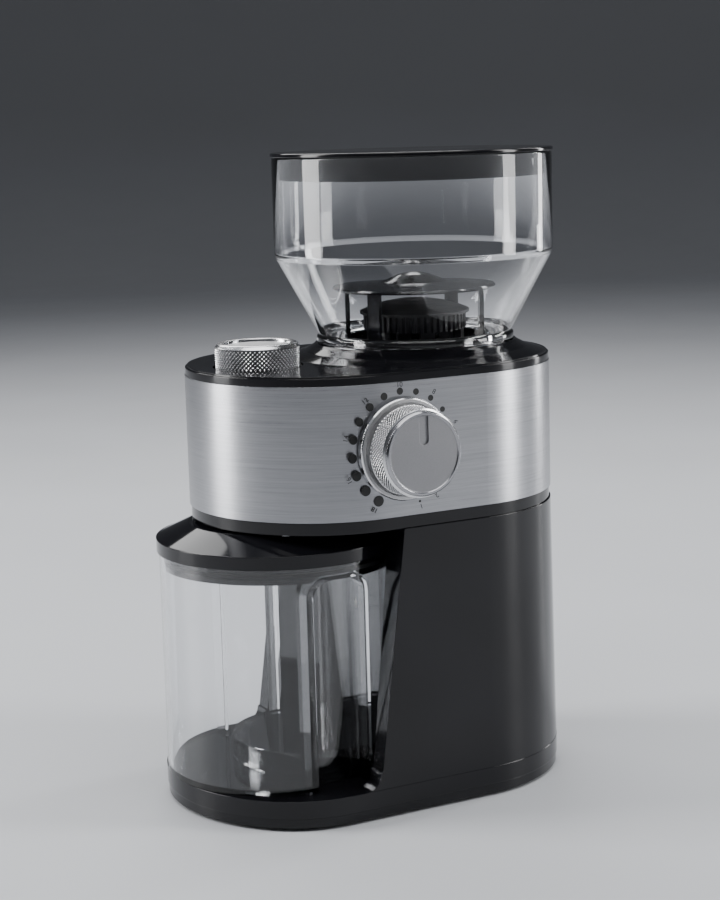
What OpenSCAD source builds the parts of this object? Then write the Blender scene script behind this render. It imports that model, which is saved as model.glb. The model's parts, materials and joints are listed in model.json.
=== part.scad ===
/* [Overall] */
// Height from the resting plane to the top of the hopper lid
total_h = 275; // [272:1:280]
// Distance of the burr axis from the middle of the footprint, along X
axis_x = 30.5; // [30:0.5:31]
// Distance of the burr axis from the middle of the footprint, along Y
axis_y = 7.25; // [7:0.05:7.5]

/* [Head] */
// Radius of the head's right end, and half of its width
head_r = 58.5; // [58:0.5:59]
// Distance from the burr axis to the head's left end
head_left = 105.5; // [105:0.5:106.5]
// Radius of the rounded corners of the left end
head_corner = 52; // [50:1:53]
// Radius of the gently bowed left end face
head_end_r = 60; // [60:1:62]
// Height of the underside of the head
trim_z = 122; // [121.5:0.5:122]
// Height of the steel band's lower edge
band_z0 = 127.3; // [127:0.1:127.5]
// Height of the steel band's upper edge
band_z1 = 183; // [182.5:0.5:183.5]
// Thickness of the steel band
band_t = 0.8; // [0.6:0.1:1]
// Thickness of the head's inner wall
wall = 2.4; // [2:0.1:2.6]

/* [Lower body] */
// Radius of the lower body at its foot
base_r = 60; // [59.5:0.5:60.5]
// Distance from the burr axis to the platform's left end
base_left = 121; // [120:0.5:122]
// Radius of the rounded corners of the platform's left end
base_corner = 46; // [44:1:48]
// Radius of the bowed left end of the platform
base_end_r = 66; // [64:1:70]
// Height of the seam between the bottom cover and the housing
seam_z = 5.5; // [5:0.5:6]
// Height of the platform under the container
deck_z = 13; // [12.5:0.5:13.5]
// Lean of the bay's lips, sideways travel for each millimetre of height
lip_lean = 0.135; // [0.12:0.005:0.15]

/* [Container] */
// Distance from the burr axis to the container's axis
cont_x = 70.5; // [70:0.5:71]
// Outer radius of the clear container
cont_r = 51.2; // [51:0.1:51.4]
// Distance from the burr axis to the container's flat back
cont_back = 33.4; // [33:0.2:34]
// Wall thickness of the clear container
cont_wall = 2; // [1.8:0.1:2.2]
// Height of the container's rim
cont_top = 109; // [108.5:0.5:109]
// Outer radius of the container's lid
clid_r = 52.2; // [52:0.1:52.4]

/* [Hopper] */
// Outer radius of the hopper's lid
hlid_r = 61.3; // [61:0.1:61.5]
// Outer radius of the hopper's straight wall at its top
hop_r = 60.8; // [60.5:0.1:61]
// Height of the corner between the hopper's wall and its cone
cone_z = 230; // [229:0.5:231]
// Height of the hopper's flange, where it sits on the cover
neck_z = 192.4; // [192.2:0.1:192.5]
// Outer radius of the hopper at its flange
neck_r = 43.2; // [43:0.1:43.5]
// Wall thickness of the clear hopper
hop_wall = 2; // [1.8:0.1:2.2]

/* [Controls] */
// Distance from the burr axis to the grind dial's axis, along X
dial_x = 40.5; // [40.5:0.5:40.5]
// Height of the grind dial's axis
dial_z = 155.4; // [155:0.1:155.8]
// Radius of the grind dial's knurled skirt
dial_r = 18.5; // [18.3:0.1:18.7]
// Radius of the grind dial's flat face
dial_face_r = 16.9; // [16.5:0.1:17.1]
// How far the grind dial stands out of the band
dial_out = 17.3; // [17:0.1:17.6]
// Outer radius of the ring around the dial
bezel_r = 21.2; // [21:0.1:21.5]
// Distance from the burr axis to the cup dial's axis
cup_x = 77; // [76:0.5:78]
// Outer radius of the cup dial
cup_r = 18.1; // [17.5:0.1:18.5]
// Height of the cup dial's top
cup_z1 = 197; // [196:0.5:198]

/* [Drive] */
// Module of the first pair of gears, next to the motor
mod_fast = 0.8; // [0.8:0.1:0.8]
// Module of the second pair of gears, next to the burr shaft
mod_slow = 1; // [1:0.1:1]
// Teeth of the motor's pinion and of the idler's small gear
pinion_teeth = 12; // [12:1:12]
// Teeth of the idler's large gear
idler_teeth = 40; // [40:1:40]
// Teeth of the output gear on the burr shaft
output_teeth = 48; // [48:1:48]
// Distance from the burr axis to the motor's axis
motor_x = 24; // [24:0.5:24]
// Radius of the motor can
motor_r = 26; // [25:0.5:26]

/* [Hidden] */
$fn = 96;

black = "#16161a";
dark = "#2b2b30";
steel = "#b9bbbf";
bright = "#d8d9dc";
clear = "#b8c4d0";

eps = 0.01;
far = 300;
fit = 0.05;

cover_t = 4;
cover_z1 = band_z1 + cover_t;
head_in = head_r - band_t - wall;
front_y = -head_r;

// Levels inside the head and the body
chamber_z0 = 132;
chamber_z1 = 172;
chamber_r = 35;
chamber_wall = 2.4;
box_z0 = 94;
box_z1 = 118;
gear_z0 = 99;
shaft_r = 4;
bore_r = shaft_r + fit;

// The idler sits where both of its gears meet their partners
fast_gap = mod_fast * (pinion_teeth + idler_teeth) / 2;
slow_gap = mod_slow * (pinion_teeth + output_teeth) / 2;
idler_x = (slow_gap * slow_gap - fast_gap * fast_gap + motor_x * motor_x) / (2 * motor_x);
idler_y = sqrt(slow_gap * slow_gap - idler_x * idler_x);
to_idler = atan2(idler_y, idler_x);
motor_to_idler = atan2(idler_y, idler_x - motor_x);

// The dial drives a ring with crown teeth through a pair of spur gears and a pinion
adjust_mod = 1;
dial_teeth = 33;
transfer_teeth = 48;
crown_pinion_teeth = 12;
crown_teeth = 84;
crown_r = adjust_mod * crown_teeth / 2;
crown_pinion_r = adjust_mod * crown_pinion_teeth / 2;
crown_z = dial_z - crown_pinion_r;
train_y = -50.5;
train_w = 3;
knob_shaft_r = 3;
knob_shaft_z0 = 42.5;
stem_z = 9;
bracket_y = train_y + train_w + 0.4;
bracket_t = 2;
bracket_x = -dial_x - 21.5;
bracket_foot = 1.6 - head_in;

module at_axis() {
  translate([axis_x, axis_y, 0]) children();
}

// ---------- outlines ----------

// Straight sides, a round right end and a bowed left end with rounded corners
module head_outline(half, left, corner, end_r, inset) {
  corner_y = half - corner;
  end_x = end_r - left;
  reach = sqrt(pow(end_r - corner, 2) - corner_y * corner_y);
  corner_x = end_x - reach;
  spread = atan2(corner_y, reach);
  circle(r = half - inset);
  translate([corner_x, inset - half]) square([-corner_x, 2 * (half - inset)]);
  for (side = [-1, 1])
    translate([corner_x, side * corner_y]) circle(r = corner - inset);
  intersection() {
    translate([end_x, 0]) circle(r = end_r - inset, $fn = 180);
    translate([end_x, 0])
      polygon([[0, 0], [-far, far * tan(spread)], [-far, -far * tan(spread)]]);
  }
}

module head_plan(inset = 0) {
  head_outline(head_r, head_left, head_corner, head_end_r, inset);
}

module base_plan(inset = 0) {
  head_outline(base_r, base_left, base_corner, base_end_r, inset);
}

// The container's round with a flat back
module cont_plan(r, back) {
  intersection() {
    translate([-cont_x, 0]) circle(r = r);
    translate([-far, -far]) square([far - back, 2 * far]);
  }
}

// A slot of the given width with round ends
module slot_plan(length, width) {
  for (side = [-1, 1])
    translate([side * (length - width) / 2, 0]) circle(r = width / 2);
  square([length - width, width], center = true);
}

module ring(r_out, r_in, z0, z1) {
  translate([0, 0, z0]) difference() {
    cylinder(r = r_out, h = z1 - z0);
    translate([0, 0, -1]) cylinder(r = r_in, h = z1 - z0 + 2);
  }
}

module post(x, y, r, z0, z1) {
  translate([x, y, z0]) cylinder(r = r, h = z1 - z0, $fn = 32);
}

// ---------- gears ----------

pressure = 20;

function involute(a) = tan(a) * 180 / PI - a;

function flank(r, base, half) =
  half + involute(pressure) - (r > base ? involute(acos(base / r)) : 0);

function tooth(r_root, r_tip, base, half) =
  let (steps = 4, radii = [for (i = [0:steps]) max(base, r_root) + (r_tip - max(base, r_root)) * i / steps])
  concat(
    [[r_root, -flank(r_root, base, half)]],
    [for (r = radii) [r, -flank(r, base, half)]],
    [for (i = [steps:-1:0]) [radii[i], flank(radii[i], base, half)]],
    [[r_root, flank(r_root, base, half)]]
  );

// Spur gear outline, with one tooth centred at the angle phase
module gear_plan(teeth, m, phase = 0) {
  pitch_r = m * teeth / 2;
  base = pitch_r * cos(pressure);
  half = 90 / teeth - 2.2 / teeth * 3;
  one = tooth(pitch_r - 1.2 * m, pitch_r + 0.85 * m, base, half);
  points = [
    for (i = [0:teeth - 1])
      for (p = one)
        let (a = p[1] + phase + 360 * i / teeth) [p[0] * cos(a), p[0] * sin(a)]
  ];
  polygon(points);
}

// ---------- bottom ----------

foot_places = [[36, 28], [36, -28], [-94, 28], [-94, -28]];
screw_places = [
  for (s = [-1, 1]) [54.3 * cos(50), s * 54.3 * sin(50)],
  for (s = [-1, 1]) [-109, s * 22]
];
foot_h = 1.5;
plate_t = 2;
foot_r = 7;
stem_r = 2.5;
thread_r = 1.25;

module base_plate() {
  color(black) at_axis() difference() {
    translate([0, 0, foot_h]) linear_extrude(seam_z - foot_h) base_plan(0.4);
    translate([0, 0, foot_h + plate_t]) linear_extrude(far) base_plan(3);
    for (p = foot_places) post(p[0], p[1], stem_r, 0, seam_z);
    for (p = screw_places) post(p[0], p[1], thread_r + 0.25, 0, seam_z);
    for (p = screw_places) post(p[0], p[1], 3.1, 0, foot_h + 1.1);
    for (p = screw_places) post(p[0], p[1], 4.1, foot_h + plate_t, far);
  }
}

module feet() {
  color(dark) at_axis() for (p = foot_places) translate([p[0], p[1], 0]) {
    cylinder(r1 = foot_r - 0.6, r2 = foot_r, h = foot_h);
    translate([0, 0, foot_h]) cylinder(r = stem_r, h = plate_t);
  }
}

module base_screws() {
  color(steel) at_axis() for (p = screw_places) translate([p[0], p[1], foot_h]) {
    difference() {
      cylinder(r = 2.8, h = 1.1);
      translate([-2, -0.4, -eps]) cube([4, 0.8, 0.6]);
      translate([-0.4, -2, -eps]) cube([0.8, 4, 0.6]);
    }
    translate([0, 0, 1.1]) cylinder(r = thread_r, h = 7);
  }
}

// ---------- lower body ----------

function lip_x(z) = -43 - (106 - z) * lip_lean;

// The tapering tower as a cone joined to a prism with leaning sides
module tower_solid(inset, z0, z1) {
  r0 = base_r - inset;
  r1 = head_r - inset;
  translate([0, 0, z0]) cylinder(r1 = r0, r2 = r1, h = z1 - z0, $fn = 180);
  translate([0, 0, z0]) rotate([90, 0, -90]) linear_extrude(80)
    polygon([[-r0, 0], [r0, 0], [r1, z1 - z0], [-r1, z1 - z0]]);
}

// Everything to the right of the leaning lips, with a rounded foot
module lip_profile(inset, z0, z1) {
  fillet = 7;
  foot_x = lip_x(deck_z) + inset;
  rotate([90, 0, 0]) translate([0, 0, -far / 2]) linear_extrude(far) {
    polygon([
      [lip_x(z0) + inset, z0], [far, z0], [far, z1], [lip_x(z1) + inset, z1]
    ]);
    if (inset == 0) difference() {
      translate([foot_x - fillet, deck_z - 1]) square([fillet + 2, fillet + 1]);
      translate([foot_x - fillet, deck_z + fillet]) circle(r = fillet, $fn = 48);
    }
  }
}

// The hollow that the container backs into
module bay(extra) {
  translate([0, 0, deck_z]) linear_extrude(far) {
    intersection() {
      translate([-cont_x, 0]) circle(r = clid_r + 1.2 + extra);
      translate([-far, -far]) square([far - cont_back + 1.6 + extra, 2 * far]);
    }
    translate([-far - cont_x, -clid_r - 1.2 - extra]) square([far, 2 * (clid_r + 1.2 + extra)]);
  }
}

dock_r = 31;
dock_h = 9;
inner_x = -cont_back + 1.6 + wall;

module dock_plan(r) {
  translate([-58, 0]) circle(r = r);
  translate([-58, -r]) square([58 - cont_back + 1.6 + 1, 2 * r]);
}

module housing() {
  color(black) at_axis() difference() {
    union() {
      difference() {
        union() {
          intersection() {
            tower_solid(0, seam_z, trim_z);
            lip_profile(0, seam_z, trim_z);
          }
          translate([0, 0, seam_z]) linear_extrude(deck_z - seam_z) base_plan();
        }
        bay(0);
        difference() {
          intersection() {
            tower_solid(wall, seam_z, trim_z);
            lip_profile(wall, seam_z, trim_z);
          }
          bay(wall);
        }
        translate([0, 0, seam_z - 1]) linear_extrude(deck_z - wall - seam_z + 1) base_plan(wall);
      }
      translate([0, 0, deck_z - wall]) linear_extrude(dock_h + wall) dock_plan(dock_r);
      for (p = screw_places) post(p[0], p[1], 4, foot_h + plate_t, deck_z - wall + eps);
    }
    translate([0, 0, seam_z]) linear_extrude(deck_z - seam_z + dock_h - wall)
      dock_plan(dock_r - wall);
    for (p = screw_places) post(p[0], p[1], thread_r + 0.05, 0, deck_z - wall - 0.5);
    translate([gland_x, base_r - 8, gland_z]) rotate([-90, 0, 0]) cylinder(r = gland_seat_r, h = 20);
    translate([-far / 2, 0, plunger_z]) rotate([0, 90, 0])
      cylinder(r = plunger_r + 0.4, h = far / 2 - 20);
  }
}

gland_x = -12;
gland_z = 24;
gland_seat_r = 6;
gland_bore_r = 3.6;

// Inlet for the mains lead, low on the back
module cord_gland() {
  color(dark) at_axis() translate([gland_x, 0, gland_z]) rotate([-90, 0, 0]) difference() {
    union() {
      translate([0, 0, base_r - 6]) cylinder(r = gland_seat_r, h = 6);
      translate([0, 0, base_r - 0.1]) cylinder(r1 = 8, r2 = 7, h = 1.3);
      translate([0, 0, base_r - 5]) cylinder(r = 8, h = 2);
    }
    translate([0, 0, base_r - 7]) cylinder(r = gland_bore_r, h = 12);
  }
}

// ---------- head ----------

outlet_w = 20;
cover_screw_places = [[-84, 37], [-84, -37], [39.4, 33.1], [39.4, -33.1]];

module lower_trim() {
  color(black) at_axis() difference() {
    translate([0, 0, trim_z]) linear_extrude(band_z0 - trim_z) head_plan(0.6);
    translate([0, 0, trim_z + 2.4]) linear_extrude(far) head_plan(band_t + wall);
    translate([0, 0, trim_z - 1]) linear_extrude(far) intersection() {
      circle(r = 50);
      translate([-27, -far]) square(2 * far);
    }
    translate([-cont_x, 0, trim_z - 1]) linear_extrude(far) square([26, outlet_w], center = true);
    for (p = cover_screw_places) post(p[0], p[1], thread_r + 0.1, trim_z - 1, band_z0);
    for (p = cover_screw_places) post(p[0], p[1], 4.1, trim_z + 2.4, far);
  }
}

module head_frame() {
  color(dark) at_axis() difference() {
    union() {
      difference() {
        translate([0, 0, band_z0]) linear_extrude(band_z1 - band_z0) head_plan(band_t);
        translate([0, 0, band_z0 - 1]) linear_extrude(far) head_plan(band_t + wall);
      }
      for (p = cover_screw_places) post(p[0], p[1], 4, trim_z + 2.4, band_z1);
    }
    for (p = cover_screw_places) post(p[0], p[1], thread_r + 0.05, trim_z, band_z1 + 1);
    translate([0, train_y + 1.6, dial_z]) rotate([90, 0, 0])
      cylinder(r = adjust_mod * transfer_teeth / 2 + 1.6, h = 2.2);
    translate([-dial_x, front_y + 8, dial_z]) rotate([90, 0, 0]) cylinder(r = knob_shaft_r + fit, h = 12);
  }
}

module steel_band() {
  color(steel) at_axis() difference() {
    translate([0, 0, band_z0]) linear_extrude(band_z1 - band_z0) head_plan(0);
    translate([0, 0, band_z0 - 1]) linear_extrude(far) head_plan(band_t);
    translate([-dial_x, front_y + 8, dial_z]) rotate([90, 0, 0]) cylinder(r = 5, h = 12);
  }
}

well_r = cup_r + 1.1;
well_z = cover_z1 - 2;
seat_r = 36.6;

module top_cover() {
  color(black) at_axis() difference() {
    union() {
      translate([0, 0, band_z1]) linear_extrude(cover_t - 0.8) head_plan(0.3);
      translate([0, 0, band_z1]) linear_extrude(cover_t) head_plan(1.1);
      rotate_extrude($fn = 180) polygon([
        [0, cover_z1 - 1], [head_r - 2.2, cover_z1 - 1], [head_r - 2.2, cover_z1],
        [49, cover_z1 + 2.2], [45, neck_z - 1], [44, neck_z - 0.1], [0, neck_z - 0.1]
      ]);
      translate([0, 0, band_z1 - 5]) linear_extrude(5) difference() {
        head_plan(band_t + wall + 0.15);
        head_plan(band_t + wall + 2);
      }
    }
    translate([0, 0, band_z1 - 6]) cylinder(r = seat_r, h = 30);
    translate([-cup_x, 0, well_z]) cylinder(r = well_r, h = 10);
    translate([-cup_x, 0, band_z1 - 1]) cylinder(r = 6.2, h = 10);
    for (p = cover_screw_places) post(p[0], p[1], 4.2, band_z1 - 6, band_z1 - eps);
    for (p = cover_screw_places) post(p[0], p[1], thread_r + 0.05, band_z1 - 6, band_z1 + 2.6);
  }
}

// Screws that come up through the underside and the frame into the cover
module cover_screws() {
  color(steel) at_axis() for (p = cover_screw_places) translate([p[0], p[1], trim_z - 0.9]) {
    cylinder(r = 2.6, h = 0.9);
    translate([0, 0, 0.9]) cylinder(r = thread_r, h = band_z1 + 2.4 - trim_z);
  }
}

tube_r = 33;
seat_z0 = 176;

// Ring with bayonet channels, which the hopper's neck turns into
module hopper_seat() {
  color(dark) at_axis() difference() {
    union() {
      ring(seat_r - 0.1, tube_r + 0.4, seat_z0, neck_z - 0.4);
      ring(seat_r + 4, seat_r - 0.2, band_z1 - 2, band_z1);
    }
    for (a = [0, 120, 240]) rotate([0, 0, a + 60]) rotate_extrude(angle = 42)
      translate([tube_r, 179]) square([2.3, 4.4]);
    for (a = [0, 120, 240]) rotate([0, 0, a + 99]) rotate_extrude(angle = 23)
      translate([tube_r, 178.9]) square([2.4, 20]);
  }
}

bezel_in = dial_r + 0.5;

module dial_bezel() {
  color(bright) at_axis() translate([-dial_x, front_y, dial_z]) rotate([90, 0, 0])
    rotate_extrude($fn = 120) polygon([
      [4, 0], [bezel_r, 0], [bezel_r, 2.6], [bezel_r - 0.5, 3.2], [bezel_in + 0.3, 3.2],
      [bezel_in, 2.9], [bezel_in, 0.8], [4, 0.8]
    ]);
}

// ---------- grinding chamber ----------

module grind_chamber() {
  color(dark) at_axis() difference() {
    union() {
      ring(chamber_r, chamber_r - chamber_wall, chamber_z0, chamber_z1);
      translate([0, 0, chamber_z0]) cylinder(r = chamber_r, h = 3);
      translate([0, 0, band_z0 - 2]) cylinder(r = 11, h = chamber_z0 - band_z0 + 2.5);
      ring(chamber_r + 3, chamber_r - chamber_wall, 141, 143);
      for (a = [30, 110, 250, 330]) rotate([0, 0, a]) translate([chamber_r - 1, -3, box_z1])
        cube([3.5, 6, 142 - box_z1]);
    }
    translate([0, 0, 100]) cylinder(r = 7, h = 50);
    translate([-chamber_r - 2, -7, chamber_z0 + 3]) cube([12, 14, 6]);
  }
}

// Sloping duct from the chamber to the opening in the container's lid
module outlet_chute() {
  color(dark) at_axis() difference() {
    chute_solid(0, -30);
    chute_solid(1.6, -20);
    translate([-cont_x, 0, trim_z - 5]) linear_extrude(10)
      square([chute_w - 3.2, outlet_w - 3.4], center = true);
    cylinder(r = chamber_r + 0.02, h = far);
    translate([0, 0, 140.9]) cylinder(r = chamber_r + 3.1, h = 10);
  }
}

chute_w = 25.6;

module chute_solid(inset, mouth_x) {
  x0 = -cont_x - chute_w / 2 + inset;
  x1 = -cont_x + chute_w / 2 - inset;
  top = chamber_z0 + 10.6 - inset;
  rotate([90, 0, 0]) translate([0, 0, inset - outlet_w / 2 + 0.1])
    linear_extrude(outlet_w - 2 * inset - 0.2) polygon([
      [x0, trim_z + 0.2 - 2 * inset], [x1, trim_z + 0.2 - 2 * inset], [x1, 128 + inset],
      [-30, chamber_z0 + 2 + inset], [mouth_x, chamber_z0 + 2 + inset], [mouth_x, top], [x0, top]
    ]);
}

// ---------- gearbox and motor ----------

gearbox_screw_places = [for (a = [75, 128, 232, 285]) [42 * cos(a) + 4, 42 * sin(a)]];

module gearbox_plan(inset) {
  intersection() {
    union() {
      circle(r = 47 - inset);
      translate([8, 0]) circle(r = 47 - inset);
    }
    translate([inner_x + 0.8 + inset, -far]) square(2 * far);
  }
}

module gearbox_base() {
  color(dark) at_axis() difference() {
    union() {
      translate([0, 0, box_z0]) linear_extrude(3) gearbox_plan(0);
      difference() {
        translate([0, 0, box_z0]) linear_extrude(12) gearbox_plan(0);
        translate([0, 0, box_z0 + 3]) linear_extrude(12) gearbox_plan(2.4);
      }
      for (p = gearbox_screw_places) post(p[0], p[1], 3.6, box_z0, box_z0 + 12);
      post(0, 0, 9, box_z0, box_z0 + 4.5);
      post(idler_x, idler_y, 5, box_z0, gear_z0 - 0.5);
    }
    translate([0, 0, box_z0 - 4]) cylinder(r = 7, h = 20);
    translate([motor_x, 0, box_z0 - 4]) cylinder(r = 8, h = 20);
    post(idler_x, idler_y, 2, box_z0 + 0.8, far);
    for (p = gearbox_screw_places) post(p[0], p[1], thread_r + 0.05, box_z0 + 2, far);
  }
}

module gearbox_cover() {
  color(dark) at_axis() difference() {
    union() {
      difference() {
        translate([0, 0, box_z0 + 12]) linear_extrude(box_z1 - box_z0 - 12) gearbox_plan(0);
        translate([0, 0, box_z0]) linear_extrude(box_z1 - box_z0 - 3) gearbox_plan(2.4);
      }
      for (p = gearbox_screw_places) post(p[0], p[1], 3.6, box_z0 + 12, box_z1);
      post(0, 0, 9.5, box_z1 - 4, box_z1 + 6);
      post(idler_x, idler_y, 5, box_z1 - 4, box_z1 - 2);
    }
    translate([0, 0, box_z1 - 6]) cylinder(r = 7, h = 20);
    post(idler_x, idler_y, 2, box_z0, box_z1 - 1);
    for (p = gearbox_screw_places) post(p[0], p[1], thread_r + 0.3, box_z0, far);
  }
}

module gearbox_screws() {
  color(steel) at_axis() for (p = gearbox_screw_places) {
    post(p[0], p[1], thread_r, box_z0 + 4, box_z1);
    post(p[0], p[1], 2.4, box_z1, box_z1 + 1.6);
  }
}

motor_z0 = 24;
motor_z1 = box_z0;

module motor_can() {
  color(steel) at_axis() translate([motor_x, 0, 0]) difference() {
    translate([0, 0, motor_z0 + 8]) cylinder(r = motor_r, h = motor_z1 - motor_z0 - 8);
    translate([0, 0, motor_z0 + 7]) cylinder(r = motor_r - 1.6, h = motor_z1 - motor_z0 - 9);
    translate([0, 0, motor_z1 - 4]) cylinder(r = 2.55, h = 10);
  }
}

module motor_end_cap() {
  color(dark) at_axis() translate([motor_x, 0, 0]) difference() {
    union() {
      translate([0, 0, motor_z0]) cylinder(r = motor_r, h = 8);
      translate([0, 0, motor_z0 - 5]) cylinder(r = 7, h = 6);
    }
    translate([0, 0, motor_z0 + 3]) cylinder(r = motor_r - 2.4, h = 10);
    translate([0, 0, motor_z0 - 3]) cylinder(r = 2.55, h = 10);
  }
}

// Bronze bushes that carry the burr shaft
module shaft_bushes() {
  color("#b08d57") at_axis() {
    ring(7, bore_r, box_z0, box_z0 + 4.5);
    ring(7, bore_r, box_z1 - 3, box_z1 + 6);
    ring(7, bore_r, chamber_z0 - 4, chamber_z0 + 2.6);
  }
}

module idler_pin() {
  color(steel) at_axis() post(idler_x, idler_y, 2, box_z0 + 0.8, box_z1 - 1);
}

// ---------- grind adjustment ----------

// Plate behind the front wall that carries the dial's and the transfer gear's shafts
module transfer_bracket() {
  color(dark) at_axis() difference() {
    union() {
      translate([bracket_x, bracket_y, dial_z - 9]) cube([9 - bracket_x, bracket_t, 18]);
      translate([bracket_x, bracket_foot, dial_z - 5]) cube([3, bracket_y + bracket_t - bracket_foot, 10]);
      translate([-dial_x, bracket_y, dial_z]) rotate([-90, 0, 0]) cylinder(r = 6, h = 6);
    }
    translate([-dial_x, -60, dial_z]) rotate([-90, 0, 0]) cylinder(r = knob_shaft_r + fit, h = 30);
    translate([0, -60, dial_z]) rotate([-90, 0, 0]) cylinder(r = 2.5 + fit, h = 30);
  }
}

module dial_shaft() {
  color(steel) at_axis() translate([-dial_x, 0, dial_z]) rotate([90, 0, 0])
    translate([0, 0, knob_shaft_z0]) cylinder(r = knob_shaft_r, h = head_r - knob_shaft_z0 + stem_z);
}

module dial_gear() {
  color("#e8e4d8") at_axis() translate([-dial_x, train_y, dial_z]) rotate([90, 0, 0])
    translate([0, 0, -train_w]) difference() {
      union() {
        linear_extrude(train_w) gear_plan(dial_teeth, adjust_mod, 0);
        cylinder(r = 5, h = train_w + 1.5);
      }
      translate([0, 0, -1]) cylinder(r = 3, h = 10);
    }
}

module transfer_gear() {
  color("#e8e4d8") at_axis() translate([0, train_y, dial_z]) rotate([90, 0, 0]) {
    translate([0, 0, -train_w]) linear_extrude(train_w)
      gear_plan(transfer_teeth, adjust_mod, 180 + 180 / transfer_teeth);
    translate([0, 0, -11.7]) cylinder(r = 2.5, h = 13.2);
    translate([0, 0, -11.6]) linear_extrude(4.8)
      gear_plan(crown_pinion_teeth, adjust_mod, -90);
  }
}

crown_h = 2.1;

// Collar around the chamber, with crown teeth that the transfer pinion turns
module adjust_ring() {
  color("#e8e4d8") at_axis() {
    ring(crown_r + 1.8, chamber_r + fit, 143.2, crown_z - 1.25);
    for (i = [0:crown_teeth - 1]) rotate([0, 0, 360 / crown_teeth * (i + 0.5) - 90])
      translate([crown_r, 0, crown_z - 1.3]) rotate([90, 0, 90]) translate([0, 0, -1.8])
        linear_extrude(3.6) polygon([
          [-1.02, 0], [1.02, 0], [0.66, 1.3], [0.34, crown_h], [-0.34, crown_h], [-0.66, 1.3]
        ]);
    ring(chamber_r + 3, chamber_r + fit, crown_z - 1.3, chamber_z1 + 0.2);
    ring(chamber_r + 3, 30.2, chamber_z1 + 0.2, chamber_z1 + 1.6);
  }
}

carrier_z1 = 204;

// Upper burr carrier: it hangs in the collar and ends in a ribbed grip inside the hopper
module burr_carrier() {
  color(black) at_axis() {
    ring(30.1, 24, chamber_z1 - 4, chamber_z1 + 1.6);
    ring(30.1, 18, chamber_z1 + 1.6, chamber_z1 + 3.6);
    for (a = [0:60:300]) rotate([0, 0, a + 15]) translate([18.6, -3, chamber_z1 + 3])
      cube([2.8, 6, 197.4 - chamber_z1 - 3]);
    difference() {
      union() {
        translate([0, 0, 196.9]) linear_extrude(carrier_z1 - 196.9) grip_plan();
        translate([0, 0, carrier_z1]) rotate_extrude() polygon([
          [0, 0], [24, 0], [24, 1.2], [20, 3], [14, 4.9], [7, 6.2], [0, 6.6]
        ]);
      }
      translate([0, 0, 190]) cylinder(r = 18, h = carrier_z1 - 190);
    }
  }
}

module grip_plan() {
  ribs = 48;
  points = [
    for (i = [0:ribs - 1])
      for (k = [[22.6, -0.30], [22.6, 0.18], [21.4, 0.32], [21.4, 0.56]])
        let (a = 360 / ribs * (i + k[1])) [k[0] * cos(a), k[0] * sin(a)]
  ];
  polygon(points);
}

module upper_burr() {
  color(bright) at_axis() difference() {
    ring(29.5, 17, chamber_z1 - 9.4, chamber_z1 - 4);
    for (a = [0:15:345]) rotate([0, 0, a + 6]) translate([16, -0.8, chamber_z1 - 9.5])
      cube([14, 1.6, 1.5]);
  }
}

// ---------- drive ----------

lower_burr_z1 = chamber_z1 - 9.7;

module burr_shaft() {
  color(steel) at_axis() translate([0, 0, box_z0 + 0.3])
    cylinder(r = shaft_r, h = lower_burr_z1 + 4 - box_z0 - 0.3);
}

module lower_burr() {
  color(bright) at_axis() difference() {
    union() {
      translate([0, 0, lower_burr_z1 - 7]) cylinder(r = 29.5, h = 7);
      translate([0, 0, lower_burr_z1]) cylinder(r1 = 13, r2 = 7, h = 7);
    }
    for (a = [0:15:345]) rotate([0, 0, a]) translate([16, -0.8, lower_burr_z1 - 1.4])
      cube([14, 1.6, 3]);
    translate([0, 0, lower_burr_z1 - 8]) cylinder(r = shaft_r, h = 12);
  }
}

// Paddle wheel that sweeps the ground coffee out of the chamber
module impeller() {
  color(dark) at_axis() difference() {
    union() {
      translate([0, 0, lower_burr_z1 - 10]) cylinder(r = 30.6, h = 3);
      translate([0, 0, chamber_z0 + 3.4]) cylinder(r = 9, h = lower_burr_z1 - 10 - chamber_z0 - 3.4);
      for (a = [0:45:315]) rotate([0, 0, a]) translate([8, -0.9, chamber_z0 + 3.6])
        cube([22.4, 1.8, lower_burr_z1 - 10 - chamber_z0 - 3.5]);
    }
    translate([0, 0, chamber_z0]) cylinder(r = shaft_r, h = 40);
  }
}

module output_gear() {
  color("#e8e4d8") at_axis() difference() {
    union() {
      translate([0, 0, gear_z0 + 8]) linear_extrude(5)
        gear_plan(output_teeth, mod_slow, to_idler + 180 / output_teeth);
      translate([0, 0, gear_z0]) cylinder(r = 8, h = 14);
    }
    translate([0, 0, gear_z0 - 1]) cylinder(r = shaft_r, h = 20);
  }
}

module idler_gear() {
  color("#e8e4d8") at_axis() translate([idler_x, idler_y, gear_z0]) difference() {
    union() {
      linear_extrude(6) gear_plan(idler_teeth, mod_fast, motor_to_idler + 180 + 180 / idler_teeth);
      translate([0, 0, 6]) cylinder(r = 4.7, h = 1.6);
      translate([0, 0, 7.6]) linear_extrude(6) gear_plan(pinion_teeth, mod_slow, to_idler + 180);
    }
    translate([0, 0, -1]) cylinder(r = 2 + fit, h = 20);
  }
}

module motor_rotor() {
  color(steel) at_axis() translate([motor_x, 0, 0]) {
    translate([0, 0, motor_z0 - 2.6]) cylinder(r = 2.5, h = box_z0 + 11 - motor_z0 + 2.6);
    translate([0, 0, motor_z0 + 16]) cylinder(r = 17, h = 38);
    translate([0, 0, motor_z0 + 8]) cylinder(r = 7, h = 8);
  }
}

module motor_pinion() {
  color("#b08d57") at_axis() translate([motor_x, 0, gear_z0 - 0.5]) difference() {
    linear_extrude(7) gear_plan(pinion_teeth, mod_fast, motor_to_idler);
    translate([0, 0, -1]) cylinder(r = 2.5, h = 20);
  }
}

// ---------- electrics ----------

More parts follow.
